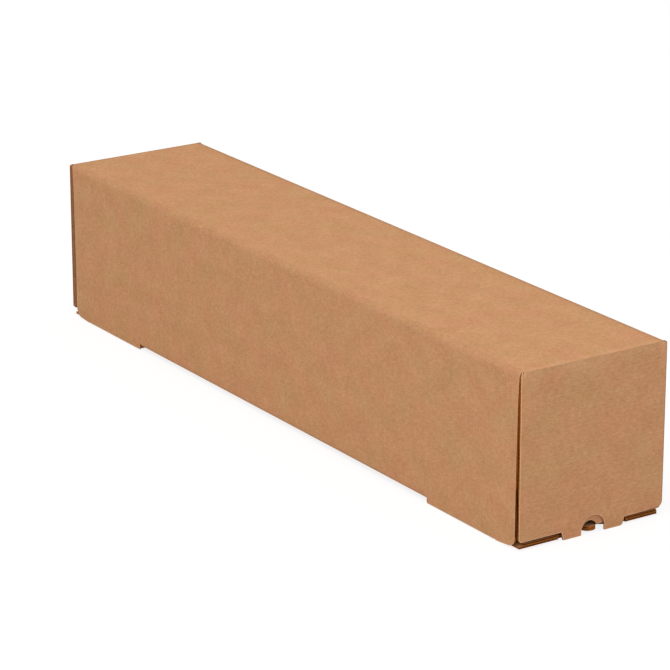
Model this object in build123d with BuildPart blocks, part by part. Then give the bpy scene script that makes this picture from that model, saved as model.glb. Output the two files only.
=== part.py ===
"""Square corrugated mailing tube, folded from one die-cut sheet.

The sheet wraps round the contents as five long panels: outer bottom, far side, top, near side and
inner bottom, which lies on the outer one. Each end has an inner flap that turns in from the far side,
and an outer flap that hangs from the top panel and drops two tabs into the bottom.

X runs across the tube, Y along it (the front end is at -Y) and Z up. The origin is on the floor,
under the middle of the tube.
"""

from build123d import *
from math import cos, degrees, radians, sin
import os

# Board, and the space that it wraps
board = 1.6
inner_width = 127.0
inner_height = 128.0
inner_length = 635.0
layer_gap = 0.3

# Flutes of the board, which run round the tube: they show where a cut crosses or bares them
flute_pitch = 3.24
liner = 0.25
flute_paper = 0.2
flute_base = 2.3
flute_top = 0.7
flute_depth = 4.0
bare_edge_depth = 0.8

# The shoulders and tabs stand this far below the outer bottom
bottom_rise = 1.3

# Folds: the long ones run across the flutes and stay soft, the end ones run along them
fold_radius = 3.5
end_fold_radius = 2.2
flap_gap = 0.2
crease_gap = 0.1
ear_gap = 0.3
relief_depth = 7.0

# Near side: its lower corners hang free as shoulders, and step up to the fold between them
shoulder_length = 111.0
shoulder_gap = 0.2
shoulder_slit = 0.5
shoulder_step_radius = 2.4
shoulder_corner = 6.0
shoulder_rise = 3.2
shoulder_rise_length = 36.0

# Long free edges of the two bottom layers
outer_cut_back = 5.2
outer_cut_corner = 4.0
inner_cut_back = 6.3
inner_free_gap = 0.3

# Outer end flap, with its two tabs and the thumb notch between them
flap_side_gap = 0.3
flap_taper = 1.7
flap_low = 6.6
flap_low_corner = 5.0
flap_low_chamfer = 1.8
lock_offset = 2.0
tab_reach = 26.7
tab_slant = 1.6
tab_edge_radius = 0.4
tab_root_radius = 1.0
tab_round_radius = 2.5
thumb_radius = 10.5
thumb_height = 3.4

# Lip of the bottom under the outer end flap, with slots for the tabs and a tongue between them
lip_setback = 1.2
slot_clearance = 2.0
slot_depth = 1.4
tongue_radius = 6.2
crescent_radius = 11.0

# Inner end flap
inner_flap_gap = 0.5
inner_flap_reach = 95.0
inner_flap_corner = 6.0
inner_thumb_radius = 7.0
inner_thumb_height = 2.5

# Faces of the folded tube, worked out from the sizes above
half_width = inner_width / 2 + board
outer_bottom_top = bottom_rise + board
inner_bottom = outer_bottom_top + layer_gap
floor_top = inner_bottom + board
height = floor_top + inner_height + board
half_ring = inner_length / 2 + board
flap_back = half_ring + flap_gap
flap_face = flap_back + board
half_lip = flap_face - lip_setback
fold_start = inner_bottom + fold_radius
crease_half = half_width - fold_radius
crease_z = height - board
shoulder_end = half_ring - shoulder_length
shoulder_top = fold_start + shoulder_corner
outer_free_edge = -half_width + board + shoulder_gap
inner_free_edge = half_width - fold_radius - inner_free_gap
inner_flap_low = floor_top + inner_flap_gap
inner_flap_high = crease_z - inner_flap_gap
inner_flap_free_edge = half_width - inner_flap_reach
slot_far = tab_reach + tab_slant + slot_clearance
core = board - 2 * liner
flute_rise = core - flute_paper
flute_low = flap_low + flap_low_corner
flute_count = int((crease_z - board - flute_low) / flute_pitch - 0.5)
flute_middle = (flute_low + crease_z - board) / 2

# The crease of an outer flap is a quarter round of one board about this line. It is parted along its
# 45 degree plane, and the flap turns about the line where that plane meets the outer face.
crease_line = (-flap_back, crease_z)
crease_split = 135
hinge_y = -flap_back + board * cos(radians(crease_split))
hinge_z = crease_z + board * sin(radians(crease_split))


# Shoulder at the front end of the near side, drawn as seen from the far side
with BuildPart() as shoulder:
    with BuildSketch(Plane.YZ.offset(-half_width)):
        with BuildLine():
            rise = TangentArc(
                (-half_ring + shoulder_rise_length, 0), (-half_ring, shoulder_rise), tangent=(-1, 0)
            )
            Polyline(rise @ 1, (-half_ring, shoulder_top), (-shoulder_end, shoulder_top), (-shoulder_end, 0))
            Line((-shoulder_end, 0), rise @ 0)
        make_face()
        fillet(vertices().sort_by_distance((-half_ring, shoulder_rise))[0], shoulder_corner)
        fillet(vertices().sort_by_distance((-shoulder_end, 0))[0], shoulder_step_radius)
    extrude(amount=board)


# Inner flap of the front end: a flat leaf with its own thumb notch, and the fold to the far side
with BuildPart() as inner_flap:
    with BuildSketch(Plane.XZ.offset(half_ring)):
        with BuildLine():
            Polyline(
                (inner_flap_free_edge, inner_flap_low),
                (half_width - end_fold_radius, inner_flap_low),
                (half_width - end_fold_radius, inner_flap_high),
                (inner_flap_free_edge, inner_flap_high),
                close=True,
            )
        make_face()
        fillet(vertices().group_by(Axis.X)[0], inner_flap_corner)
        with Locations((0, inner_thumb_height)):
            Circle(inner_thumb_radius, mode=Mode.SUBTRACT)
    extrude(amount=-board)
    with BuildSketch(Plane.XY.offset(inner_flap_low)):
        with BuildLine():
            corner = (half_width - end_fold_radius, -half_ring + end_fold_radius)
            outer_arc = CenterArc(corner, end_fold_radius, -90, 90)
            inner_arc = CenterArc(corner, end_fold_radius - board, -90, 90)
            Line(outer_arc @ 0, inner_arc @ 0)
            Line(outer_arc @ 1, inner_arc @ 1)
        make_face()
    extrude(amount=inner_flap_high - inner_flap_low)


# Upper half of the front crease, which belongs to the top panel
with BuildPart() as upper_crease:
    with BuildSketch(Plane.YZ.offset(-crease_half + ear_gap)):
        with BuildLine():
            arc = CenterArc(crease_line, board, 90, crease_split - 90)
            Polyline(arc @ 1, crease_line, (-half_ring, crease_z), (-half_ring, height), arc @ 0)
        make_face()
    extrude(amount=2 * (crease_half - ear_gap))


with BuildPart() as folded_tube:
    # Five panels and the four long folds between them
    with BuildSketch(Plane.XZ):
        with BuildLine():
            outside = FilletPolyline(
                (outer_free_edge, bottom_rise),
                (half_width, bottom_rise),
                (half_width, height),
                (-half_width, height),
                (-half_width, inner_bottom),
                (inner_free_edge, inner_bottom),
                radius=fold_radius,
            )
            inside = FilletPolyline(
                (outer_free_edge, outer_bottom_top),
                (half_width - board, outer_bottom_top),
                (half_width - board, crease_z),
                (-half_width + board, crease_z),
                (-half_width + board, floor_top),
                (inner_free_edge, floor_top),
                radius=fold_radius - board,
            )
            Line(outside @ 0, inside @ 0)
            Line(outside @ 1, inside @ 1)
        make_face()
    extrude(amount=half_ring, both=True)

    # Both bottom layers run on under the outer end flaps as a lip
    with BuildSketch(Plane.XY.offset(bottom_rise)):
        with Locations((outer_free_edge, 0)):
            Rectangle(
                half_width - fold_radius - outer_free_edge, 2 * half_lip, align=(Align.MIN, Align.CENTER)
            )
    extrude(amount=board)
    with BuildSketch(Plane.XY.offset(inner_bottom)):
        with Locations((-half_width + inner_cut_back, 0)):
            Rectangle(
                inner_free_edge + half_width - inner_cut_back, 2 * half_lip, align=(Align.MIN, Align.CENTER)
            )
    extrude(amount=board)

    # At both ends the fold to the inner bottom is cut away, and a shoulder hangs straight down
    with BuildSketch(Plane.XY.offset(outer_bottom_top + layer_gap / 2)):
        with GridLocations(0, 2 * half_ring - shoulder_length - shoulder_slit, 1, 2):
            with Locations((-half_width, 0)):
                Rectangle(2 * inner_cut_back, shoulder_length + shoulder_slit)
    extrude(amount=fold_start - outer_bottom_top - layer_gap / 2, mode=Mode.SUBTRACT)
    with BuildSketch(Plane.XY.offset(fold_start)):
        with GridLocations(0, 2 * half_ring - shoulder_length, 1, 2):
            with Locations((-half_width, 0)):
                Rectangle(2 * board, shoulder_length)
    extrude(amount=shoulder_corner, mode=Mode.SUBTRACT)
    add(shoulder.part)
    add(mirror(shoulder.part, about=Plane.XZ))

    # Between the shoulders the outer bottom is cut back, clear of the fold that comes down there
    with BuildSketch():
        with Locations((outer_free_edge, 0)):
            RectangleRounded(2 * outer_cut_back, 2 * shoulder_end, outer_cut_corner)
    extrude(amount=outer_bottom_top + layer_gap / 2, mode=Mode.SUBTRACT)

    # Below the inner end flaps, a relief is cut from the ends of the fold to the far side
    with BuildSketch():
        with GridLocations(0, 2 * half_ring, 1, 2):
            with Locations((half_width, 0)):
                Rectangle(2 * fold_radius, 2 * relief_depth)
    extrude(amount=inner_flap_low, mode=Mode.SUBTRACT)

    # The inner end flaps take the place of the far side's square ends
    with BuildSketch(Plane.XY.offset(inner_flap_low)):
        with GridLocations(0, 2 * half_ring, 1, 2):
            with Locations((half_width, 0)):
                Rectangle(2 * end_fold_radius, 2 * end_fold_radius)
    extrude(amount=inner_flap_high - inner_flap_low, mode=Mode.SUBTRACT)
    add(inner_flap.part)
    add(mirror(inner_flap.part, about=Plane.XZ))

    # Where a cut runs along the flutes, the board is open between its liners: at the ends of the near
    # side and along both lips
    with BuildSketch(Plane.XY.offset(shoulder_top)):
        with GridLocations(0, 2 * half_ring, 1, 2):
            with Locations((-half_width + board / 2, 0)):
                Rectangle(core, 2 * bare_edge_depth)
    extrude(amount=height - fold_radius - shoulder_top, mode=Mode.SUBTRACT)
    lips = (
        (bottom_rise, outer_free_edge, half_width - fold_radius),
        (inner_bottom, -half_width + inner_cut_back, inner_free_edge),
    )
    for lip_low, lip_near, lip_far in lips:
        with BuildSketch(Plane.XY.offset(lip_low + liner)):
            with GridLocations(0, 2 * half_lip, 1, 2):
                with Locations(((lip_near + lip_far) / 2, 0)):
                    Rectangle(lip_far - lip_near - 2 * board, 2 * bare_edge_depth)
        extrude(amount=core, mode=Mode.SUBTRACT)

    # Upper halves of both end creases
    add(upper_crease.part)
    add(mirror(upper_crease.part, about=Plane.XZ))

    # In each lip, slots for the tabs, and between them a tongue inside a half-moon cut
    with BuildSketch():
        with Locations((lock_offset, half_lip), (lock_offset, -half_lip)):
            Rectangle(2 * slot_far, 2 * slot_depth)
            Circle(crescent_radius)
        with Locations(
            (lock_offset, half_lip - tongue_radius), (lock_offset, -half_lip + tongue_radius)
        ):
            Circle(tongue_radius, mode=Mode.SUBTRACT)
        with Locations((lock_offset, 0)):
            Rectangle(2 * tongue_radius, 2 * (half_lip - tongue_radius), mode=Mode.SUBTRACT)
    extrude(amount=floor_top + inner_flap_gap / 2, mode=Mode.SUBTRACT)

folded_tube.part.label = "folded_tube"


with BuildPart() as front_end_flap:
    # Leaf, drawn as seen from outside; its top corners follow the long folds
    with BuildSketch(Plane.XZ.offset(flap_back)):
        low_near = (-half_width + flap_side_gap + flap_taper, flap_low)
        low_far = (half_width, flap_low)
        with BuildLine():
            Polyline(
                low_near, low_far, (half_width, height), (-half_width + flap_side_gap, height), close=True
            )
        make_face()
        fillet(vertices().group_by(Axis.Y)[-1], fold_radius)
        fillet(vertices().sort_by_distance(low_far)[0], flap_low_corner)
        chamfer(vertices().sort_by_distance(low_near)[0], flap_low_chamfer)

        # Between its ears the leaf ends under the crease
        with Locations((0, height)):
            Rectangle(2 * crease_half, 2 * (board + crease_gap), mode=Mode.SUBTRACT)

        # Tabs, parted by the thumb notch
        root_near = (lock_offset - tab_reach - tab_slant, flap_low)
        root_far = (lock_offset + tab_reach + tab_slant, flap_low)
        tip_near = (lock_offset - tab_reach, 0)
        tip_far = (lock_offset + tab_reach, 0)
        with BuildLine():
            Polyline(tip_near, tip_far, root_far, root_near, close=True)
        make_face()
        with Locations((lock_offset, thumb_height)):
            Circle(thumb_radius, mode=Mode.SUBTRACT)
            Rectangle(2 * thumb_radius, 2 * thumb_height, mode=Mode.SUBTRACT)
        notch_near = (lock_offset - thumb_radius, 0)
        corners = (
            (root_near, tab_root_radius),
            (root_far, tab_root_radius),
            (tip_near, tab_edge_radius),
            (tip_far, tab_round_radius),
            (notch_near, tab_root_radius),
        )
        for corner, radius in corners:
            fillet(vertices().sort_by_distance(corner)[0], radius)
    extrude(amount=board)

    # Flute mouths along both side edges: under each liner a row of hollows, half a pitch apart
    for edge, inward in ((-half_width, 1), (half_width, -1)):
        with BuildSketch(Plane.YZ.offset(edge)):
            for base, rise, shift in (
                (-flap_face + liner, flute_rise, 0),
                (-flap_back - liner, -flute_rise, flute_pitch / 2),
            ):
                with Locations((base, flute_middle + shift)):
                    with GridLocations(0, flute_pitch, 1, flute_count):
                        Polygon(
                            (0, -flute_base / 2),
                            (0, flute_base / 2),
                            (rise, flute_top / 2),
                            (rise, -flute_top / 2),
                            align=None,
                        )
        extrude(amount=inward * flute_depth, mode=Mode.SUBTRACT)

    # Lower half of the crease
    with BuildSketch(Plane.YZ.offset(-crease_half)):
        with BuildLine():
            arc = CenterArc(crease_line, board, 180, crease_split + degrees(crease_gap / board) - 180)
            leaf_top = crease_z - crease_gap
            Polyline(arc @ 1, (-flap_back, leaf_top), (-flap_face, leaf_top), arc @ 0)
        make_face()
    extrude(amount=2 * crease_half)

front_end_flap.part.label = "front_end_flap"


# The blank is symmetrical end to end
with BuildPart() as rear_end_flap:
    add(mirror(front_end_flap.part, about=Plane.XZ))

rear_end_flap.part.label = "rear_end_flap"


print("front hinge line at y", round(hinge_y, 3), "z", round(hinge_z, 3))
os.makedirs("parts", exist_ok=True)
export_step(folded_tube.part, "parts/folded_tube.step")
export_step(front_end_flap.part, "parts/front_end_flap.step")
export_step(rear_end_flap.part, "parts/rear_end_flap.step")
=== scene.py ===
from math import atan2, cos, pi, radians, sin, tan

import bpy
from mathutils import Matrix, Vector
from mathutils.geometry import delaunay_2d_cdt


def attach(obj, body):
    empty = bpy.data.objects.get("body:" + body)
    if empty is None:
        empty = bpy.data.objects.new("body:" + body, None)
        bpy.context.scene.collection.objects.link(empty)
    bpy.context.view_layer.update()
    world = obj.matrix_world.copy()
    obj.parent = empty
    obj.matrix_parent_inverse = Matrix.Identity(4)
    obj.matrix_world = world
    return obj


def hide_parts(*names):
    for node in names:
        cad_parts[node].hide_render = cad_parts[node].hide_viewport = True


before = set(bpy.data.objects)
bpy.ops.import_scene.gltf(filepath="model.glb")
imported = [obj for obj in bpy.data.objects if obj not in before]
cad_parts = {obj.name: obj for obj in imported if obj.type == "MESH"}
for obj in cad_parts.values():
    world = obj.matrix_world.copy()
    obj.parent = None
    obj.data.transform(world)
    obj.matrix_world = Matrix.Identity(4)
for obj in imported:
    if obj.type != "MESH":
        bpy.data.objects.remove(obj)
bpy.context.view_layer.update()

# Camera, worked out from the photograph's perspective
AZIMUTH = radians(-33.55)
ELEVATION = radians(18.71)
CAMERA_PLACE = Vector((-1.3751, -2.0619, 0.8993))
FOCAL_LENGTH = 178.12
SENSOR = 36.0

# Board, in millimetres: two liners with a fluted paper between them
MM = 0.001
BOARD = 1.6
LINER = 0.25
FLUTE_PAPER = 0.2
FLUTE_PITCH = 3.24
FLUTE_STEPS = 8
FLUTE_REACH = 7.0
FLUTE_INSET = 0.15
MASHED_INSET = 0.3
MASHED_SLOPE = 0.4
EDGE_INSET = 0.7
EDGE_ROLL = 0.12
EDGE_LEAN = 0.5
THINNEST_LINER = 0.1

# Folded tube, in millimetres, as in the CAD source. Only here are the near side's ends cut back
# by the setbacks, its corner rounded this far and the crescent stretched.
HALF_WIDTH = 65.1
HEIGHT = 134.4
BOTTOM_RISE = 1.3
INNER_BOTTOM = 3.2
FOLD_RADIUS = 3.5
FOLD_STEPS = 8
FOLD_MARGIN = 1.5
SOFT_TOP = 6.0
SOFT_SIDE = 3.0
HALF_RING = 319.1
HALF_LIP = 319.7
OUTER_FREE_EDGE = -63.3
INNER_FREE_EDGE = 61.3
OUTER_CUT_BACK = 5.2
OUTER_CUT_CORNER = 4.0
INNER_CUT_BACK = 6.3
SHOULDER_END = 208.1
SHOULDER_SLIT = 0.5
SHOULDER_RISE = 3.2
SHOULDER_RISE_LENGTH = 36.0
SHOULDER_RISE_STEPS = 10
SHOULDER_RISE_KEPT = 7
SHOULDER_CORNER = 7.5
NEAR_SETBACK = (  # height, and how far back the end lies there
    (131.0, 0.4),
    (114.0, 1.5),
    (92.0, 1.9),
    (69.0, 2.2),
    (46.0, 2.5),
    (20.0, 2.5),
)
REAR_SETBACK = 2.2
SHOULDER_STEP_RADIUS = 2.4
RELIEF_DEPTH = 7.0
LOCK_OFFSET = 2.0
SLOT_REACH = 30.3
SLOT_DEPTH = 1.4
TONGUE_RADIUS = 6.2
CRESCENT_RADIUS = 11.0
CRESCENT_STRETCH = 2.3

# Inner end flap
END_RADIUS = 2.2
END_MARGIN = 0.6
INNER_FLAP_LOW = 5.3
INNER_FLAP_HIGH = 132.3
INNER_FLAP_FREE_EDGE = -29.9
INNER_FLAP_CORNER = 6.0
INNER_FLAP_STEP = 3.0
INNER_FLAP_ROOT_STEP = 1.2
INNER_THUMB_RADIUS = 7.0
INNER_THUMB_HEIGHT = 2.5

# Outer end flap and its crease; its near edge and its ears are wider here than in the CAD source
CREASE_Z = HEIGHT - BOARD
CREASE_HALF = HALF_WIDTH - FOLD_RADIUS
CREASE_SLIT = 0.04
CREASE_STEPS = 6
CREASE_TURN = 0.85
EAR_GAP = 0.05
FLAP_BACK = 319.3
FLAP_FACE = 320.9
FRONT_FLAP_NEAR = (-64.8, -64.4)  # at the top and at the foot
REAR_FLAP_NEAR = (-65.1, -65.1)
EAR_RADIUS = 2.0
FLAP_LOW = 6.6
FLAP_CORNER = 5.0
FLAP_CHAMFER = 1.8
TAB_REACH = 26.7
TAB_SLANT = 1.6
TAB_TIP_RADIUS = 0.4
TAB_ROOT_RADIUS = 1.0
TAB_ROUND_RADIUS = 2.5
THUMB_RADIUS = 10.5
THUMB_HEIGHT = 3.4

# Distances round the sheet, along its outer face, to each fold's start and end
QUARTER = FOLD_RADIUS * pi / 2
FOLD_START = INNER_BOTTOM + FOLD_RADIUS
U1 = CREASE_HALF - OUTER_FREE_EDGE
U2 = U1 + QUARTER
U3 = U2 + HEIGHT - BOTTOM_RISE - 2 * FOLD_RADIUS
U4 = U3 + QUARTER
U5 = U4 + 2 * CREASE_HALF
U6 = U5 + QUARTER
U7 = U6 + HEIGHT - FOLD_RADIUS - FOLD_START
U8 = U7 + QUARTER
END_ARC = END_RADIUS * pi / 2
FLAP_ROOT = HALF_RING - END_RADIUS
CREASE_ARC = BOARD * pi / 4
SMALLEST_RADIUS = 0.03
OFF_SHEET = 400
TOUCH = 0.01

# Marks: how much painted highlight or painted shade the liner has at folds and at cut edges, and
# how far from them
# Painted highlight along the front crease, partly the paler stretched liner; it fades as the face
# turns to the end
CREASE_HIGHLIGHT_REACH = 6.0
CREASE_PAINTED_HIGHLIGHT = 0.6
CREASE_HIGHLIGHT_FADE = 0.5
# Painted shade on the rear crease, which faces away from the lamp
REAR_CREASE_PAINTED_SHADE = -2.0
# Painted shade on the far upper fold, darkest where it turns away from the light
FAR_FOLD_PAINTED_SHADE = -2.4
# Painted highlight along the tube's cut edges
TUBE_EDGE_PAINTED_HIGHLIGHT = 0.5
# Painted highlight on the flap below its crease, and how far down it reaches
FLAP_HIGHLIGHT_REACH = 10.0
FLAP_PAINTED_HIGHLIGHT = 0.7
# Painted highlight on the rim at the crease, offsetting the shade of the groove there
FLAP_CREASE_PAINTED_HIGHLIGHT = 0.8
# Painted highlight on the flap's cut edges; painted shade on its far side edge beyond the given x,
# and on the inner liner's cut edges
FLAP_EDGE_PAINTED_HIGHLIGHT = 1.0
FLAP_PAINTED_SHADE_FROM = 60.0
EDGE_PAINTED_SHADE = -1.5

# Liner: share of each pattern in its tone and its hue
FIBRE_SHARE = 0.34
CLOUD_SHARE = 0.26
MOTTLE_SHARE = 0.20
# Faint painted shade of the washboard over the flutes, in stripes along the sheet
FLUTE_STRIPE_SHADE_SHARE = 0.012
DARK_FLECK_SHARE = -0.30
LIGHT_FLECK_SHARE = 0.20
# Shares of the painted highlight and painted shade marks at folds and at cut edges
PAINTED_FOLD_LIGHT_SHARE = 0.10
PAINTED_EDGE_LIGHT_SHARE = 0.60
TINT_SHARE = 0.46
STAIN_SHARE = 0.28

# Raw paper: share of its fine and its coarse grain
FINE_SHARE = 0.8
COARSE_SHARE = 0.5

# Light and floor
SKY_STRENGTH = 0.72
KEY_PLACE = (-1.00, -0.85, 2.68)
KEY_TARGET = (0, 0, 0.07)
KEY_SIZE = 1.8
KEY_ENERGY = 33
FLOOR_SIZE = 20
FLOOR_PALE = 0.8
FLOOR_SHADE = 0.19
FLOOR_GLOW = 0.84


# Outlines

def arc(x, y, radius, start, end, steps):
    """Points of an arc about (x, y), its angles in degrees."""
    angles = [radians(start + (end - start) * k / steps) for k in range(steps + 1)]
    return [(x + radius * cos(a), y + radius * sin(a)) for a in angles]


def rounded(before, corner, after, radius, steps=6):
    """Points of the fillet that takes a corner's place."""
    c = Vector(corner)
    a, b = (Vector(before) - c).normalized(), (Vector(after) - c).normalized()
    half = a.angle(b) / 2
    centre = c + (a + b).normalized() * radius / sin(half)
    first, last = c + a * radius / tan(half), c + b * radius / tan(half)
    start, end = (atan2(p.y - centre.y, p.x - centre.x) for p in (first, last))
    turn = (end - start + pi) % (2 * pi) - pi
    angles = [start + turn * k / steps for k in range(steps + 1)]
    return [(centre.x + radius * cos(t), centre.y + radius * sin(t)) for t in angles]


def lip_edge(u_of_x, x_from, x_to):
    """End of a bottom layer, from one side to the other, with its slots and tongue."""
    slot = HALF_LIP - SLOT_DEPTH
    reach = (CRESCENT_RADIUS ** 2 - SLOT_DEPTH ** 2) ** 0.5
    dip = (CRESCENT_RADIUS ** 2 - TONGUE_RADIUS ** 2) ** 0.5
    mouth = atan2(SLOT_DEPTH, reach) * 180 / pi
    foot = atan2(dip, TONGUE_RADIUS) * 180 / pi
    points = [(-SLOT_REACH, HALF_LIP), (-SLOT_REACH, slot)]
    points += arc(0, HALF_LIP, CRESCENT_RADIUS, mouth - 180, foot - 180, 6)
    points += arc(0, HALF_LIP - TONGUE_RADIUS, TONGUE_RADIUS, 180, 0, 16)
    far = arc(0, HALF_LIP, CRESCENT_RADIUS, -foot, -mouth, 6)
    points += [(TONGUE_RADIUS + (x - TONGUE_RADIUS) * CRESCENT_STRETCH, y) for x, y in far]
    points += [(SLOT_REACH, slot), (SLOT_REACH, HALF_LIP)]
    points = [(LOCK_OFFSET + x, y) for x, y in points]
    return [(u_of_x(x), v) for x, v in [(x_from, HALF_LIP)] + points + [(x_to, HALF_LIP)]]


def inner_flap_edge():
    """Inner end flap of the far side, from its lower root to its upper one."""
    def flat(x, z):
        v = FLAP_ROOT + END_ARC + HALF_WIDTH - END_RADIUS - x
        return U2 + z - BOTTOM_RISE - FOLD_RADIUS, v

    rise = INNER_FLAP_LOW - INNER_THUMB_HEIGHT
    mouth = atan2(rise, (INNER_THUMB_RADIUS ** 2 - rise ** 2) ** 0.5) * 180 / pi
    thumb = arc(0, INNER_THUMB_HEIGHT, INNER_THUMB_RADIUS, mouth, 180 - mouth, 14)
    low = flat(INNER_FLAP_FREE_EDGE, INNER_FLAP_LOW)
    high = flat(INNER_FLAP_FREE_EDGE, INNER_FLAP_HIGH)
    points = [(low[0], HALF_RING - RELIEF_DEPTH)] + [flat(x, z) for x, z in thumb]
    points += rounded((low[0], 0), low, high, INNER_FLAP_CORNER)
    points += rounded(low, high, (high[0], 0), INNER_FLAP_CORNER)
    root = U3 - CREASE_SLIT
    points += [(high[0], HALF_RING + INNER_FLAP_STEP), (root, HALF_RING + INNER_FLAP_ROOT_STEP)]
    return points + [(root, FLAP_ROOT), (U3, FLAP_ROOT)]


def shoulder_edge(more):
    """End and lower edge of a shoulder; more is how much further back the end is cut."""
    def place(y, z):
        return U7 + FOLD_START - z, y

    end = HALF_RING - NEAR_SETBACK[-1][1] - more
    start = HALF_RING - SHOULDER_RISE_LENGTH
    curve = (SHOULDER_RISE_LENGTH ** 2 + SHOULDER_RISE ** 2) / (2 * SHOULDER_RISE)
    parts = [k / SHOULDER_RISE_STEPS for k in range(SHOULDER_RISE_KEPT, -1, -1)]
    sweep = [end] + [start + SHOULDER_RISE_LENGTH * part for part in parts]
    sweep = [(y, curve - (curve ** 2 - (y - start) ** 2) ** 0.5) for y in sweep]
    corner = rounded((end, HEIGHT), sweep[0], sweep[1], SHOULDER_CORNER, 8)
    step = (start, 0), (SHOULDER_END, 0), (SHOULDER_END, FOLD_START)
    down = [(HALF_RING - back - more, z) for z, back in NEAR_SETBACK]
    edge = down + corner + sweep[1:] + rounded(*step, SHOULDER_STEP_RADIUS)
    return [place(y, z) for y, z in edge] + [(U7, SHOULDER_END)]


def half_tube_outline(more):
    """Edge of the tube's blank from the middle of one free edge over one end to the other's."""
    slit = SHOULDER_END - SHOULDER_SLIT
    cut = (OUTER_CUT_BACK, 0), (OUTER_CUT_BACK, SHOULDER_END), (0, SHOULDER_END)
    points = rounded(*cut, OUTER_CUT_CORNER) + [(0, SHOULDER_END)]
    points += lip_edge(lambda x: x - OUTER_FREE_EDGE, OUTER_FREE_EDGE, CREASE_HALF)
    points += [(U1, HALF_RING - RELIEF_DEPTH)] + inner_flap_edge()
    crease_end = FLAP_BACK + CREASE_ARC
    points += [(U3, HALF_RING), (U4 + EAR_GAP, HALF_RING), (U4 + EAR_GAP, crease_end)]
    points += [(U5 - EAR_GAP, crease_end), (U5 - EAR_GAP, HALF_RING)]
    points += shoulder_edge(more)
    inner_cut = U8 + INNER_CUT_BACK - FOLD_RADIUS
    points += [(U7, slit), (inner_cut, slit)]
    points += lip_edge(lambda x: U8 + x + CREASE_HALF, INNER_CUT_BACK - HALF_WIDTH, INNER_FREE_EDGE)
    return points


def tube_outline():
    """The whole blank but for the outer end flaps."""
    front, rear = half_tube_outline(0.0), half_tube_outline(REAR_SETBACK)
    return [(u, -v) for u, v in front] + [(u, v) for u, v in reversed(rear)]


def flap_outline(near_top, near_low):
    """Outer end flap as seen from outside: X to the right, and up the sheet over its crease."""
    top = CREASE_Z + CREASE_ARC
    near_corner, far_corner = (near_low, FLAP_LOW), (HALF_WIDTH, FLAP_LOW)
    near_root = (LOCK_OFFSET - TAB_REACH - TAB_SLANT, FLAP_LOW)
    near_tip = (LOCK_OFFSET - TAB_REACH, 0)
    near_notch, far_notch = (LOCK_OFFSET - THUMB_RADIUS, 0), (LOCK_OFFSET + THUMB_RADIUS, 0)
    far_tip = (LOCK_OFFSET + TAB_REACH, 0)
    far_root = (LOCK_OFFSET + TAB_REACH + TAB_SLANT, FLAP_LOW)
    notch_top = (near_notch[0], THUMB_HEIGHT)
    ear = CREASE_HALF + CREASE_SLIT
    ear_side = [CREASE_Z + BOARD * part for part in (0.0, 0.4, 0.7, 0.9, 1.0)]
    ear_centre = HEIGHT - EAR_RADIUS
    points = [(near_low, FLAP_LOW + FLAP_CHAMFER), (near_low + FLAP_CHAMFER, FLAP_LOW)]
    points += rounded(near_corner, near_root, near_tip, TAB_ROOT_RADIUS)
    points += rounded(near_root, near_tip, near_notch, TAB_TIP_RADIUS, 3)
    points += rounded(near_tip, near_notch, notch_top, TAB_ROOT_RADIUS)
    points += arc(LOCK_OFFSET, THUMB_HEIGHT, THUMB_RADIUS, 180, 0, 24) + [far_notch]
    points += rounded(near_notch, far_tip, far_root, TAB_ROUND_RADIUS)
    points += rounded(far_tip, far_root, far_corner, TAB_ROOT_RADIUS)
    points += rounded(far_root, far_corner, (HALF_WIDTH, HEIGHT), FLAP_CORNER, 8)
    points += arc(HALF_WIDTH - EAR_RADIUS, ear_centre, EAR_RADIUS, 0, 89, 6)
    points += [(ear, t) for t in ear_side[::-1]]
    points += [(CREASE_HALF, CREASE_Z), (CREASE_HALF, top)]
    points += [(-CREASE_HALF, top), (-CREASE_HALF, CREASE_Z)]
    points += [(-ear, t) for t in ear_side]
    return points + arc(near_top + EAR_RADIUS, ear_centre, EAR_RADIUS, 91, 179, 6)


# From the flat sheet to the folded one: u runs round the girth and v along the tube,
# both in the sheet, and w goes down from its outer face

def girth(u, w):
    """X and Z of a point of the wrapped panels and their long folds."""
    r = FOLD_RADIUS - w
    if u <= U1:
        return OUTER_FREE_EDGE + u, BOTTOM_RISE + w
    if u <= U2:
        t = (u - U1) / FOLD_RADIUS
        return CREASE_HALF + r * sin(t), BOTTOM_RISE + FOLD_RADIUS - r * cos(t)
    if u <= U3:
        return HALF_WIDTH - w, BOTTOM_RISE + FOLD_RADIUS + u - U2
    if u <= U4:
        t = (u - U3) / FOLD_RADIUS
        return CREASE_HALF + r * cos(t), HEIGHT - FOLD_RADIUS + r * sin(t)
    if u <= U5:
        return CREASE_HALF - (u - U4), HEIGHT - w
    if u <= U6:
        t = (u - U5) / FOLD_RADIUS
        return -CREASE_HALF - r * sin(t), HEIGHT - FOLD_RADIUS + r * cos(t)
    if u <= U7:
        return w - HALF_WIDTH, HEIGHT - FOLD_RADIUS - (u - U6)
    if u <= U8:
        t = (u - U7) / FOLD_RADIUS
        return -CREASE_HALF - r * cos(t), FOLD_START - r * sin(t)
    return u - U8 - CREASE_HALF, INNER_BOTTOM + w


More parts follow.
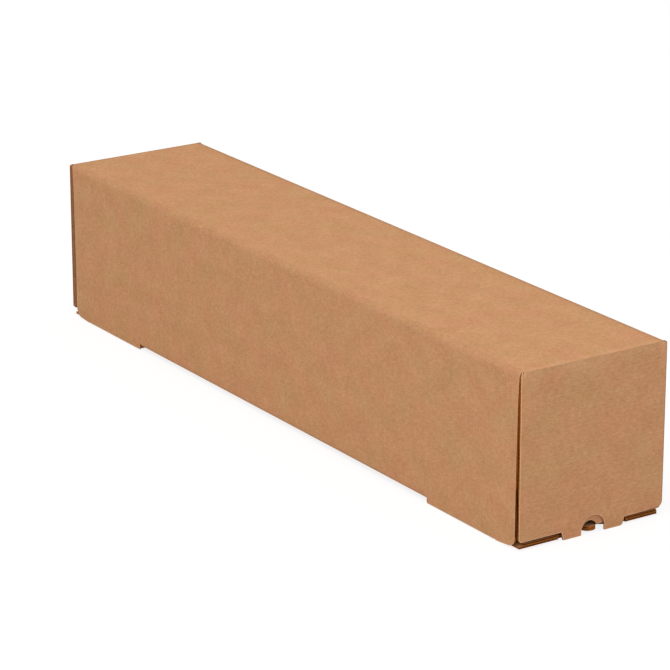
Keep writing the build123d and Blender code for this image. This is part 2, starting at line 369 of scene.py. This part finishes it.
def place_on_tube(u, v, w):
    """X, Y and Z of a point of the folded tube, its inner end flaps and its shoulders."""
    away = abs(v)
    side = 1 if v > 0 else -1
    in_root = U2 < u < U3 - CREASE_SLIT / 2 and away > FLAP_ROOT
    if in_root or (u < U3 + FOLD_RADIUS and away > HALF_RING + 1):
        z = BOTTOM_RISE + FOLD_RADIUS + u - U2
        s = away - FLAP_ROOT
        if s < END_ARC:
            r, t = END_RADIUS - w, s / END_RADIUS
            return HALF_WIDTH - END_RADIUS + r * cos(t), side * (FLAP_ROOT + r * sin(t)), z
        return HALF_WIDTH - END_RADIUS - (s - END_ARC), side * (HALF_RING - w), z
    if U7 < u < U8 + 1 and away > SHOULDER_END - SHOULDER_SLIT / 2:
        return w - HALF_WIDTH, v, FOLD_START - (u - U7)
    if U4 < u < U5 and away > FLAP_BACK:
        r, t = max(BOARD - w, SMALLEST_RADIUS), (away - FLAP_BACK) / BOARD
        return CREASE_HALF - (u - U4), side * (FLAP_BACK + r * sin(t)), CREASE_Z + r * cos(t)
    x, z = girth(u, w)
    return x, v, z


def place_on_flap(side):
    """X, Y and Z of a point of a flap; side is -1 for the front one and 1 for the rear one."""
    def place(x, t, w):
        if t > CREASE_Z and abs(x) < CREASE_HALF + CREASE_SLIT / 2:
            r, angle = max(BOARD - w, SMALLEST_RADIUS), (t - CREASE_Z) / BOARD
            return x, side * (FLAP_BACK + r * cos(angle)), CREASE_Z + r * sin(angle)
        return x, side * (FLAP_FACE - w), t

    return place


def flap_on_blank(side):
    """Where a point of a flap lies on the tube's blank, so that grain and flutes run on."""
    def blank(x, t):
        return U4 + CREASE_HALF - x, side * (FLAP_BACK + 2 * CREASE_ARC + CREASE_Z - t)

    return blank


# Meshes

def cut_at(outline, axis, value):
    """The outline with points added where it crosses a line of constant u or v."""
    points = []
    for a, b in zip(outline, outline[1:] + outline[:1]):
        points.append(a)
        if (a[axis] - value) * (b[axis] - value) < 0:
            part = (value - a[axis]) / (b[axis] - a[axis])
            points.append(tuple(p + (q - p) * part for p, q in zip(a, b)))
    return points


def crossings(outline, axis, value):
    """Where a line of constant u or v enters and leaves the outline, in order."""
    value += 1e-6
    found = []
    for a, b in zip(outline, outline[1:] + outline[:1]):
        if (a[axis] > value) != (b[axis] > value):
            part = (value - a[axis]) / (b[axis] - a[axis])
            found.append(a[1 - axis] + (b[1 - axis] - a[1 - axis]) * part)
    found.sort()
    return list(zip(found[::2], found[1::2]))


def inset(outline, distance):
    """The outline moved inwards, each corner along its bisector."""
    area = sum(a[0] * b[1] - b[0] * a[1] for a, b in zip(outline, outline[1:] + outline[:1]))
    way = 1 if area > 0 else -1
    moved = []
    for before, here, after in zip(outline[-1:] + outline[:-1], outline, outline[1:] + outline[:1]):
        a = Vector((here[0] - before[0], here[1] - before[1])).normalized()
        b = Vector((after[0] - here[0], after[1] - here[1])).normalized()
        normal = Vector((-(a.y + b.y), a.x + b.x)) * way
        length = max(normal.length_squared, 1.0)
        moved.append(tuple(p + q * 2 * distance / length for p, q in zip(here, normal)))
    return moved


def with_bends(outline, bends):
    """The outline with a point wherever a bend line crosses it."""
    for axis, value, *_ in bends:
        outline = cut_at(outline, axis, value)
    return outline


def flat_mesh(outline, bends):
    """Triangles of the flat sheet: points, triangles, and which points lie on its cut edge.

    A bend is the axis that stays constant on it, its value there, and the stretch that its
    middle lies in.
    """
    outline = with_bends(outline, bends)
    inner = inset(outline, EDGE_INSET)
    points = [Vector(p) for p in outline + inner]
    n = len(outline)
    edges = [(k, (k + 1) % n) for k in range(n)]
    edges += [(n + a, n + b) for a, b in edges]
    for axis, value, low, high in bends:
        for start, end in crossings(outline, axis, value):
            if start < (low + high) / 2 < end:
                ends = [(value, along) if axis == 0 else (along, value) for along in (start, end)]
                edges.append((len(points), len(points) + 1))
                points += [Vector(p) for p in ends]
    found = delaunay_2d_cdt(points, edges, [], 1, 1e-4)
    rim = [any(k < n for k in came_from) for came_from in found[3]]
    return [tuple(p) for p in found[0]], [tuple(f) for f in found[2]], rim


class Shape:
    """Points, faces and what goes with them, gathered for one piece.

    place folds a point of the sheet and blank says where it lies on the tube's blank. grain is
    the order in which those two coordinates go into the paper's pattern, whose fibres run along
    the second. outward is the direction of the outer face, roll how far its cut edge is pressed
    down, marks the painted highlight and painted shade on it, and at_crease where it is creased and
    not cut.
    """

    def __init__(self, place, blank, grain, outward, roll, marks, at_crease):
        self.place, self.blank, self.grain = place, blank, grain
        self.outward, self.roll = outward, roll
        self.marks_at, self.at_crease = marks, at_crease
        self.points, self.sheet, self.marks = [], [], []
        self.faces, self.materials, self.normals = [], [], []

    def point(self, u, v, w, fold=0.0, edge=0.0):
        self.points.append([MM * c for c in self.place(u, v, w)])
        on_blank = self.blank(u, v)
        self.sheet.append([MM * on_blank[k] for k in self.grain] + [MM * w])
        self.marks.append((fold, edge, MM * on_blank[1]))
        return len(self.points) - 1

    def face(self, corners, material, normals=None):
        if normals is None:
            a, b, c = (Vector(self.points[k]) for k in corners[:3])
            normals = [(b - a).cross(c - b).normalized()] * len(corners)
        self.faces.append(corners)
        self.materials.append(material)
        self.normals += normals

    def build(self, name, materials):
        mesh = bpy.data.meshes.new(name)
        mesh.from_pydata(self.points, [], self.faces, shade_flat=False)
        for material in materials:
            mesh.materials.append(material)
        mesh.polygons.foreach_set("material_index", self.materials)
        for title, values in (("sheet", self.sheet), ("marks", self.marks)):
            layer = mesh.attributes.new(title, "FLOAT_VECTOR", "POINT")
            layer.data.foreach_set("vector", [c for value in values for c in value])
        mesh.normals_split_custom_set(self.normals)
        piece = bpy.data.objects.new(name, mesh)
        bpy.context.scene.collection.objects.link(piece)
        return piece


# Places of the materials on every piece
LINER_PAPER, CUT_EDGE, FLUTING = 0, 1, 2


def add_liner(shape, flat, exposed):
    """One liner: the face that shows, the face on the flutes, and the cut edge round them."""
    points, triangles, rim = flat
    inward = 1 if exposed == 0 else -1
    fronts, backs, normals = [], [], []
    for (u, v), on_rim in zip(points, rim):
        roll = (shape.roll(u, v) if inward > 0 else EDGE_ROLL) if on_rim else 0
        # The inner liner's cut edges get painted shade; the outer liner takes its painted highlight
        # and shade from marks_at
        fold, edge = shape.marks_at(u, v) if inward > 0 else (0.0, EDGE_PAINTED_SHADE)
        back = max(LINER, roll + THINNEST_LINER)
        fronts.append(shape.point(u, v, exposed + inward * roll, fold, edge if on_rim else 0.0))
        backs.append(shape.point(u, v, exposed + inward * back))
        normals.append(shape.outward(u, v) * inward)
    a, b, c = (Vector(shape.points[fronts[k]]) for k in triangles[0])
    if (b - a).cross(c - b).dot(normals[triangles[0][0]]) < 0:
        triangles = [t[::-1] for t in triangles]
    lean = rim_lean(shape, fronts, triangles, rim)
    for t in triangles:
        leaning = [(normals[k] + lean[k]).normalized() for k in t]
        shape.face([fronts[k] for k in t], LINER_PAPER, leaning)
        shape.face([backs[k] for k in t[::-1]], FLUTING, [-normals[k] for k in t[::-1]])
    sides = {(a, b) for t in triangles for a, b in zip(t, t[1:] + t[:1])}
    for a, b in sorted(sides):
        if (b, a) not in sides:
            material = edge_material(shape, points[a], points[b])
            shape.face([fronts[b], fronts[a], backs[a], backs[b]], material)


def edge_material(shape, a, b):
    """Raw where the sheet is cut, liner where it is only creased."""
    return LINER_PAPER if shape.at_crease(*a) and shape.at_crease(*b) else CUT_EDGE


def rim_lean(shape, fronts, triangles, rim):
    """How far the face's normal leans out at the cut edge, where the paper is pressed down."""
    lean = [Vector((0, 0, 0)) for _ in rim]
    for t in triangles:
        middle = sum((Vector(shape.points[fronts[k]]) for k in t), Vector()) / 3
        for k in t:
            if rim[k] and not all(rim[j] for j in t):
                lean[k] += (Vector(shape.points[fronts[k]]) - middle).normalized()
    return [way.normalized() * EDGE_LEAN if way.length > 0 else way for way in lean]


def overlap(first, second):
    """Stretches that lie in both lists of stretches."""
    both = [(max(a, c), min(b, d)) for a, b in first for c, d in second]
    return [(a, b) for a, b in both if b > a]


def near_edges(outline, v0, v1):
    """Stretches between the lines at v0 and v1 that lie inside the outline and near its edge."""
    def inside_both(v, other):
        return overlap(crossings(outline, 1, v), crossings(outline, 1, other))

    inside = inside_both(v0, v1)
    v = (v0 + v1) / 2
    deep = overlap(inside, inside_both(v - FLUTE_REACH, v + FLUTE_REACH))
    deep = [(a + FLUTE_REACH, b - FLUTE_REACH) for a, b in deep if b - a > 2 * FLUTE_REACH]
    found = []
    for a, b in inside:
        a, b = a + FLUTE_INSET, b - FLUTE_INSET
        for c, d in deep:
            if a < c and d < b:
                found.append((a, c))
                a = d
        found.append((a, b))
    return [(a, b) for a, b in found if b - a > FLUTE_INSET]


def add_flutes(shape, outline, stops, top=OFF_SHEET):
    """The fluted paper, as far in from every cut edge as it can be seen."""
    low, high = min(v for _, v in outline), min(top, max(v for _, v in outline))
    step = FLUTE_PITCH / FLUTE_STEPS
    first, last = int(low / step) - 1, int(high / step) + 1
    swing = BOARD / 2 - LINER - FLUTE_PAPER / 2
    for k in range(first, last):
        v0, v1 = k * step, (k + 1) * step
        depths = []
        for v in (v0, v1):
            middle = BOARD / 2 + swing * cos(2 * pi * shape.blank(0, v)[1] / FLUTE_PITCH)
            depths.append((middle - FLUTE_PAPER / 2, middle + FLUTE_PAPER / 2))
        for a, b in near_edges(outline, v0, v1):
            stations = [a] + [u for u in stops if a < u < b] + [b]
            (above, below), (next_above, next_below) = depths
            section = (v0, above), (v1, next_above), (v1, next_below), (v0, below)
            rows = [[shape.point(u, v, w) for v, w in section] for u in stations]
            for one, two in zip(rows, rows[1:]):
                for i in range(4):
                    j = (i + 1) % 4
                    shape.face([one[i], one[j], two[j], two[i]], FLUTING)
            shape.face(rows[0][::-1], CUT_EDGE)
            shape.face(rows[-1], CUT_EDGE)


def add_mashed_edges(shape, outline, bends):
    """Where the cut runs along the flutes it mashes the fluted paper flat between the liners."""
    inner = inset(with_bends(outline, bends), MASHED_INSET)
    for a, b in zip(inner, inner[1:] + inner[:1]):
        if abs(a[1] - b[1]) < MASHED_SLOPE * abs(a[0] - b[0]):
            depths = (LINER, LINER, BOARD - LINER, BOARD - LINER)
            material = edge_material(shape, a, b)
            for way in ((a, b, b, a), (b, a, a, b)):
                shape.face([shape.point(u, v, w) for (u, v), w in zip(way, depths)], material)


def fold_lines(start, length, steps, margin):
    """Where a fold is divided, with a line on each side of it that keeps the panels flat."""
    lines = [start + length * k / steps for k in range(steps + 1)]
    return [start - margin] + lines + [start + length + margin]


def tube_bends():
    """Bend lines of the long folds, of the soft panels beside the upper two, and of the ends."""
    along = []
    for start in (U1, U3, U5, U7):
        along += fold_lines(start, QUARTER, FOLD_STEPS, FOLD_MARGIN)
    for top, side, way in ((U4, U3, 1), (U5, U6, -1)):
        for part in (0.25, 0.5, 0.75, 1.0):
            along += [top + way * SOFT_TOP * part, side - way * SOFT_SIDE * part]
    bends = [(0, u, -OFF_SHEET, OFF_SHEET) for u in along]
    for side in (-1, 1):
        for v in fold_lines(FLAP_ROOT, END_ARC, FOLD_STEPS, END_MARGIN):
            bends.append((1, side * v, U2, U3))
        for v in fold_lines(FLAP_BACK, CREASE_ARC, CREASE_STEPS, CREASE_HIGHLIGHT_REACH)[:-1]:
            bends.append((1, side * v, U4, U5))
    return bends


def smooth(value):
    """Eased from 0 to 1 as the value goes from 0 to 1."""
    value = min(max(value, 0.0), 1.0)
    return value * value * (3 - 2 * value)


def crease_turn(away):
    """How far the face has turned from the top's direction to the end's, 0 to 1."""
    return CREASE_TURN * smooth((away - FLAP_BACK) / CREASE_ARC)


def tube_outward(u, v):
    """Direction of the face; the panels bow a little towards their long upper folds."""
    if U2 < u < U6 + SOFT_SIDE and not (u < U3 and abs(v) > FLAP_ROOT):
        soft = QUARTER + SOFT_TOP + SOFT_SIDE
        if u < (U3 + U6) / 2:
            angle = pi / 2 * (1 - smooth((u - U3 + SOFT_SIDE) / soft))
        else:
            angle = -pi / 2 * smooth((u - U5 + SOFT_TOP) / soft)
        flat = Vector((sin(angle), 0, cos(angle)))
        turn = pi / 2 * crease_turn(abs(v)) if U4 <= u <= U5 else 0
        return flat * cos(turn) + Vector((0, 1 if v > 0 else -1, 0)) * sin(turn)
    a, b = place_on_tube(u, v, 0), place_on_tube(u, v, 0.1)
    return Vector([p - q for p, q in zip(a, b)]).normalized()


def near(distance, reach):
    """1 at the line that distance is measured from and beyond it, 0 at reach before it."""
    return min(max((distance + reach) / reach, 0.0), 1.0)


def tube_marks(u, v):
    """Painted highlight or painted shade of the outer liner at a fold, and painted highlight at a
    cut edge.
    """
    fold = 0.0
    if U4 <= u <= U5:
        # painted highlight along the front crease, partly the paler stretched liner, fading as the
        # face turns to the end
        fold = CREASE_PAINTED_HIGHLIGHT * near(abs(v) - FLAP_BACK, CREASE_HIGHLIGHT_REACH)
        fold *= 1 - CREASE_HIGHLIGHT_FADE * crease_turn(abs(v))
        # painted shade on the rear crease
        if v > FLAP_BACK - 1:
            fold = REAR_CREASE_PAINTED_SHADE
    elif U3 < u < U4:
        # painted shade on the far upper fold, growing towards the top panel
        fold = FAR_FOLD_PAINTED_SHADE * (U4 - u) / QUARTER
    # painted highlight on the cut edge's rim
    return fold, TUBE_EDGE_PAINTED_HIGHLIGHT


def flap_marks(x, t):
    """The same painted highlight on a flap, whose far side edge gets painted shade."""
    # painted highlight below the crease, fading downwards
    fold = FLAP_PAINTED_HIGHLIGHT * near(t - CREASE_Z, FLAP_HIGHLIGHT_REACH)
    if flap_crease(x, t):
        # painted highlight on the rim at the crease
        return fold, FLAP_CREASE_PAINTED_HIGHLIGHT
    # painted shade on the far side edge, painted highlight on the other cut edges
    return fold, EDGE_PAINTED_SHADE if x > FLAP_PAINTED_SHADE_FROM else FLAP_EDGE_PAINTED_HIGHLIGHT


def flap_roll(x, t):
    """The ears beside the crease are crushed to its roll."""
    if t <= CREASE_Z or abs(x) < CREASE_HALF + CREASE_SLIT / 2:
        return EDGE_ROLL
    return max(EDGE_ROLL, BOARD - max(BOARD ** 2 - (t - CREASE_Z) ** 2, 0) ** 0.5)


def tube_crease(u, v):
    """Whether a point of the tube's edge lies at an outer flap's crease."""
    return U4 - 1 < u < U5 + 1 and abs(v) > HALF_RING - TOUCH


def flap_crease(x, t):
    """Whether a point of a flap's edge lies at its crease."""
    return abs(x) < CREASE_HALF + CREASE_SLIT + TOUCH and t > CREASE_Z - TOUCH


def make_tube(materials):
    outline, bends = tube_outline(), tube_bends()
    shape = Shape(
        place=place_on_tube,
        blank=lambda u, v: (u, v),
        grain=(0, 1),
        outward=tube_outward,
        roll=lambda u, v: EDGE_ROLL,
        marks=tube_marks,
        at_crease=tube_crease,
    )
    flat = flat_mesh(outline, bends)
    add_liner(shape, flat, 0)
    add_liner(shape, flat, BOARD)
    folds = (fold_lines(start, QUARTER, FOLD_STEPS, 0)[1:-1] for start in (U1, U3, U5, U7))
    add_flutes(shape, outline, [u for lines in folds for u in lines])
    add_mashed_edges(shape, outline, bends)
    piece = shape.build("tube_board", materials)
    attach(piece, "tube")
    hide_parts("folded_tube")


def make_flap(name, body, node, side, near_edge, materials):
    outline = flap_outline(*near_edge)
    outward = Vector((0, side, 0))
    shape = Shape(
        place=place_on_flap(side),
        blank=flap_on_blank(side),
        grain=(1, 0),
        outward=lambda x, t: outward,
        roll=flap_roll,
        marks=flap_marks,
        at_crease=flap_crease,
    )
    crease = fold_lines(CREASE_Z, CREASE_ARC, CREASE_STEPS, FLAP_HIGHLIGHT_REACH)[:-1]
    bends = [(1, t, -1, 1) for t in crease]
    flat = flat_mesh(outline, bends)
    add_liner(shape, flat, 0)
    add_liner(shape, flat, BOARD)
    add_flutes(shape, outline, [], CREASE_Z)
    add_mashed_edges(shape, outline, bends)
    piece = shape.build(name, materials)
    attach(piece, body)
    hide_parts(node)


# Materials

def srgb(red, green, blue):
    """Linear colour with alpha from 8-bit sRGB values."""
    parts = []
    for value in (red, green, blue):
        v = value / 255
        parts.append(v / 12.92 if v <= 0.04045 else ((v + 0.055) / 1.055) ** 2.4)
    return (*parts, 1.0)


def paper(name, colour, roughness):
    """A matt material and its shader."""
    material = bpy.data.materials.new(name)
    material.use_nodes = True
    shader = material.node_tree.nodes["Principled BSDF"]
    shader.inputs["Base Color"].default_value = colour
    shader.inputs["Roughness"].default_value = roughness
    shader.inputs["Specular IOR Level"].default_value = 0.0
    shader.inputs["IOR"].default_value = 1.0
    return material, shader


def noise(tree, source, size, detail=3.0, roughness=0.55):
    """Noise in the sheet; size is that of its grains across and along the fibres, in metres."""
    mapping = tree.nodes.new("ShaderNodeMapping")
    mapping.inputs["Scale"].default_value = (1 / size[0], 1 / size[1], 1 / size[0])
    texture = tree.nodes.new("ShaderNodeTexNoise")
    texture.inputs["Scale"].default_value = 1.0
    texture.inputs["Detail"].default_value = detail
    texture.inputs["Roughness"].default_value = roughness
    tree.links.new(source, mapping.inputs["Vector"])
    tree.links.new(mapping.outputs[0], texture.inputs["Vector"])
    return texture.outputs["Fac"]


def math_node(tree, operation, *values):
    """Each value is a number or another node's output."""
    node = tree.nodes.new("ShaderNodeMath")
    node.operation = operation
    for socket, value in zip(node.inputs, values):
        if isinstance(value, (int, float)):
            socket.default_value = value
        else:
            tree.links.new(value, socket)
    return node.outputs[0]


def stretch(tree, value, low, high):
    """0 where the value is low, 1 where it is high."""
    node = tree.nodes.new("ShaderNodeMapRange")
    for socket, number in zip(list(node.inputs)[1:5], (low, high, 0.0, 1.0)):
        socket.default_value = number
    tree.links.new(value, node.inputs[0])
    return node.outputs[0]


def add_up(tree, first, *parts):
    """first plus each part's value times its share."""
    total = first
    for value, share in parts:
        total = math_node(tree, "MULTIPLY_ADD", value, share, total)
    return total


def ramp(tree, value, dark, middle, light):
    """A colour ramp with its middle colour half way."""
    node = tree.nodes.new("ShaderNodeValToRGB")
    elements = node.color_ramp.elements
    elements.new(0.5)
    for element, position, colour in zip(elements, (0.0, 0.5, 1.0), (dark, middle, light)):
        element.position = position
        element.color = colour
    tree.links.new(value, node.inputs[0])
    return node.outputs["Color"]


def read(tree, name):
    """One of the pieces' point attributes."""
    node = tree.nodes.new("ShaderNodeAttribute")
    node.attribute_name = name
    return node.outputs["Vector"]


def liner_paper():
    """Kraft liner: brown, with fine fibres along the machine, flecks and clouds, faint painted
    shade of the flutes' washboard, and the marks' painted highlight and painted shade.
    """
    material, shader = paper("kraft_liner", srgb(196, 147, 105), 0.85)
    tree = material.node_tree
    sheet = read(tree, "sheet")
    marks = tree.nodes.new("ShaderNodeSeparateXYZ")
    tree.links.new(read(tree, "marks"), marks.inputs[0])

    fibres = noise(tree, sheet, (0.0010, 0.0031), 1.5, 0.5)
    clouds = noise(tree, sheet, (0.0030, 0.0050), 2.0, 0.5)
    mottle = noise(tree, sheet, (0.016, 0.022), 2.0, 0.5)
    flecks = noise(tree, sheet, (0.0008, 0.0011), 1.0, 0.4)
    tint = noise(tree, sheet, (0.0013, 0.0033), 1.0, 0.5)
    stain = noise(tree, sheet, (0.024, 0.032), 1.0, 0.4)
    dark_flecks = stretch(tree, flecks, 0.66, 0.76)
    light_flecks = stretch(tree, flecks, 0.34, 0.25)
    # flute waves: a real bump, and in the tone a faint painted shade of the washboard
    turns = math_node(tree, "MULTIPLY", marks.outputs[2], 2 * pi / (FLUTE_PITCH * MM))
    flutes = math_node(tree, "COSINE", turns)
    tone = add_up(
        tree, 0.5 - 0.5 * (FIBRE_SHARE + CLOUD_SHARE + MOTTLE_SHARE),
        (fibres, FIBRE_SHARE), (clouds, CLOUD_SHARE), (mottle, MOTTLE_SHARE), (flutes, FLUTE_STRIPE_SHADE_SHARE),
        (dark_flecks, DARK_FLECK_SHARE), (light_flecks, LIGHT_FLECK_SHARE),
        # the marks add painted highlight and painted shade to the tone
        (marks.outputs[0], PAINTED_FOLD_LIGHT_SHARE), (marks.outputs[1], PAINTED_EDGE_LIGHT_SHARE),
    )
    rosy = ramp(tree, tone, srgb(150, 94, 62), srgb(202, 143, 106), srgb(239, 185, 147))
    sallow = ramp(tree, tone, srgb(141, 99, 60), srgb(193, 149, 104), srgb(229, 191, 146))
    blend = tree.nodes.new("ShaderNodeMix")
    blend.data_type = "RGBA"
    hue = add_up(tree, 0.0, (tint, TINT_SHARE), (stain, STAIN_SHARE))
    tree.links.new(stretch(tree, hue, 0.25, 0.49), blend.inputs["Factor"])
    tree.links.new(rosy, blend.inputs[6])
    tree.links.new(sallow, blend.inputs[7])
    tree.links.new(blend.outputs[2], shader.inputs["Base Color"])
    height = add_up(tree, 0.0, (fibres, 0.6), (clouds, 0.5), (flutes, 0.25))
    bump = tree.nodes.new("ShaderNodeBump")
    bump.inputs["Strength"].default_value = 0.35
    bump.inputs["Distance"].default_value = 0.00008
    tree.links.new(height, bump.inputs["Height"])
    tree.links.new(bump.outputs[0], shader.inputs["Normal"])
    return material


def speckled_paper(name, dark, base, light, grain):
    """Raw paper inside the board: cut edges and fluting, darker and rougher than the liner."""
    material, shader = paper(name, base, 0.95)
    tree = material.node_tree
    sheet = read(tree, "sheet")
    fine = noise(tree, sheet, (grain, grain), 3.0, 0.6)
    coarse = noise(tree, sheet, (0.003, 0.003))
    tone = add_up(
        tree, 0.5 - 0.5 * (FINE_SHARE + COARSE_SHARE),
        (fine, FINE_SHARE), (coarse, COARSE_SHARE),
    )
    tree.links.new(ramp(tree, tone, dark, base, light), shader.inputs["Base Color"])
    return material


def make_materials():
    """In the order of LINER_PAPER, CUT_EDGE and FLUTING."""
    edge = srgb(142, 70, 18), srgb(230, 134, 56), srgb(252, 186, 108)
    flutes = srgb(106, 54, 18), srgb(168, 98, 42), srgb(210, 140, 76)
    return [
        liner_paper(),
        speckled_paper("cut_edge", *edge, 0.0009),
        speckled_paper("fluting", *flutes, 0.0010),
    ]


# Scene

def make_camera():
    back = Vector((
        sin(AZIMUTH) * cos(ELEVATION),
        -cos(AZIMUTH) * cos(ELEVATION),
        sin(ELEVATION),
    ))
    right = Vector((0, 0, 1)).cross(back).normalized()
    up = back.cross(right)
    camera = bpy.data.objects.new("camera", bpy.data.cameras.new("camera"))
    turn = Matrix((right, up, back)).transposed().to_4x4()
    camera.matrix_world = Matrix.Translation(CAMERA_PLACE) @ turn
    camera.data.lens = FOCAL_LENGTH
    camera.data.sensor_width = SENSOR
    camera.data.clip_end = 100
    bpy.context.scene.collection.objects.link(camera)
    bpy.context.scene.camera = camera


def make_floor():
    """White for the camera, but for the object's own shadow; a pale matt floor for the light."""
    bpy.ops.mesh.primitive_plane_add(size=FLOOR_SIZE)
    floor = bpy.context.object
    floor.name = "floor"
    material = bpy.data.materials.new("floor")
    material.use_nodes = True
    tree = material.node_tree
    tree.nodes.clear()
    output = tree.nodes.new("ShaderNodeOutputMaterial")
    mix = tree.nodes.new("ShaderNodeMixShader")
    both = tree.nodes.new("ShaderNodeAddShader")
    rays = tree.nodes.new("ShaderNodeLightPath")
    pale = tree.nodes.new("ShaderNodeBsdfDiffuse")
    pale.inputs["Color"].default_value = (FLOOR_PALE, FLOOR_PALE, FLOOR_PALE, 1)
    shaded = tree.nodes.new("ShaderNodeBsdfDiffuse")
    shaded.inputs["Color"].default_value = (FLOOR_SHADE, FLOOR_SHADE, FLOOR_SHADE, 1)
    glow = tree.nodes.new("ShaderNodeEmission")
    glow.inputs["Strength"].default_value = FLOOR_GLOW
    tree.links.new(shaded.outputs[0], both.inputs[0])
    tree.links.new(glow.outputs[0], both.inputs[1])
    tree.links.new(rays.outputs["Is Camera Ray"], mix.inputs["Fac"])
    tree.links.new(pale.outputs[0], mix.inputs[1])
    tree.links.new(both.outputs[0], mix.inputs[2])
    tree.links.new(mix.outputs[0], output.inputs["Surface"])
    floor.data.materials.append(material)


def make_world():
    world = bpy.data.worlds.new("studio")
    world.use_nodes = True
    sky = world.node_tree.nodes["Background"]
    sky.inputs["Color"].default_value = (1, 1, 1, 1)
    sky.inputs["Strength"].default_value = SKY_STRENGTH
    bpy.context.scene.world = world


def make_lamp(name, place, target, size, energy):
    lamp = bpy.data.objects.new(name, bpy.data.lights.new(name, "AREA"))
    lamp.data.energy = energy
    lamp.data.size = size
    lamp.location = place
    lamp.rotation_euler = (Vector(target) - lamp.location).to_track_quat("-Z", "Y").to_euler()
    bpy.context.scene.collection.objects.link(lamp)


bpy.context.scene.view_settings.view_transform = "Standard"
make_camera()
board = make_materials()
make_tube(board)
make_flap("front_flap_board", "front_flap", "front_end_flap", -1, FRONT_FLAP_NEAR, board)
make_flap("rear_flap_board", "rear_flap", "rear_end_flap", 1, REAR_FLAP_NEAR, board)
make_floor()
make_world()
make_lamp("key", KEY_PLACE, KEY_TARGET, KEY_SIZE, KEY_ENERGY)
